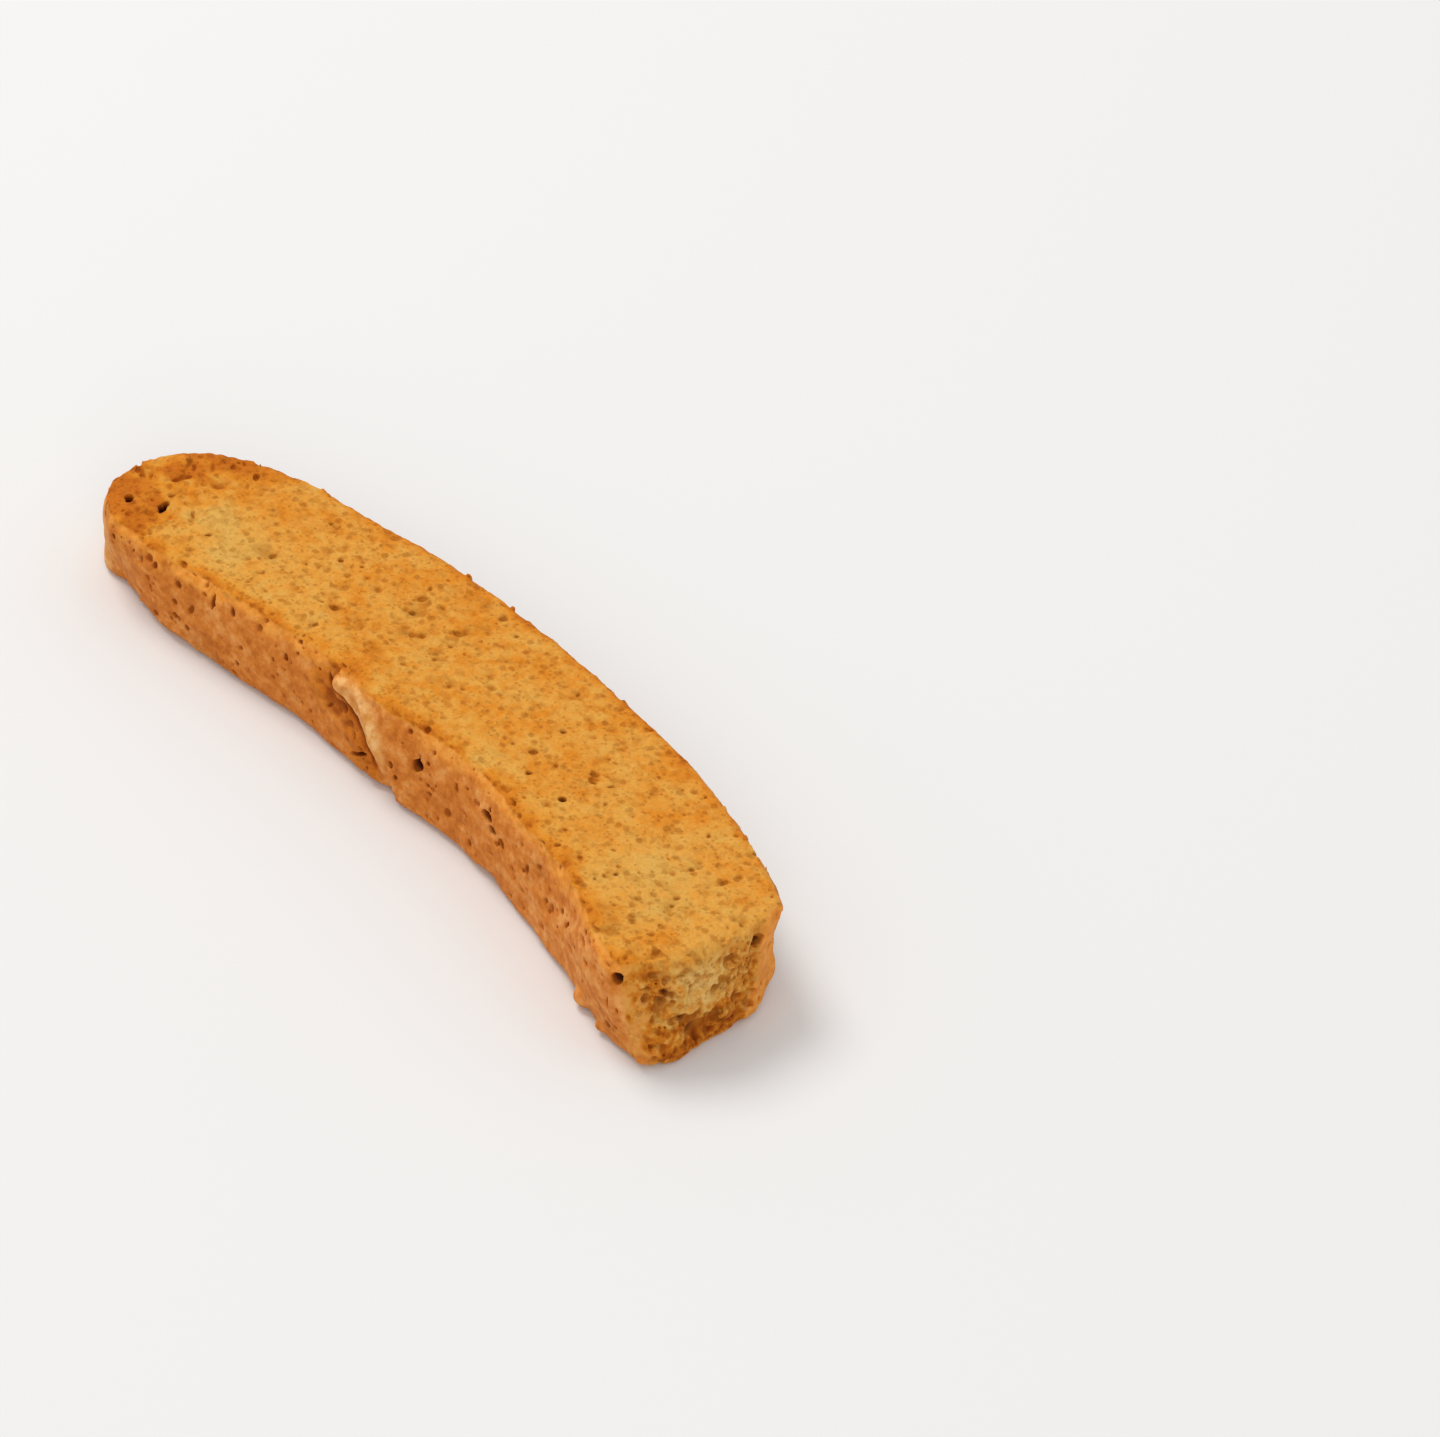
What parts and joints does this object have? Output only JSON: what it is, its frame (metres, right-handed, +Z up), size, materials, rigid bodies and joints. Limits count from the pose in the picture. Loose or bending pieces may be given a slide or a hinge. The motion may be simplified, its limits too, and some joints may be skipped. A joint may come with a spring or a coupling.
{
  "type": "rusk",
  "caption": "Long curved slice of twice-baked rusk lying on a cut face: porous golden crumb above and below, browned crust around it, rough torn crumb at one end and a crease in its inner side.",
  "frame": {"origin": "middle of the base of the slice's box, on the flat cut face that it lies on", "axes": "+X along the slice towards the torn end, +Y across it towards the domed crust that was the top of the loaf, +Z up from one cut face to the other"},
  "size_m": [0.1509, 0.0457, 0.0191],
  "materials": {
    "toasted_crumb": "dry, matt, porous golden-brown crumb with darker browned crust around the sides"
  },
  "bodies": {
    "root": {"rusk": "toasted_crumb"}
  },
  "joints": []
}
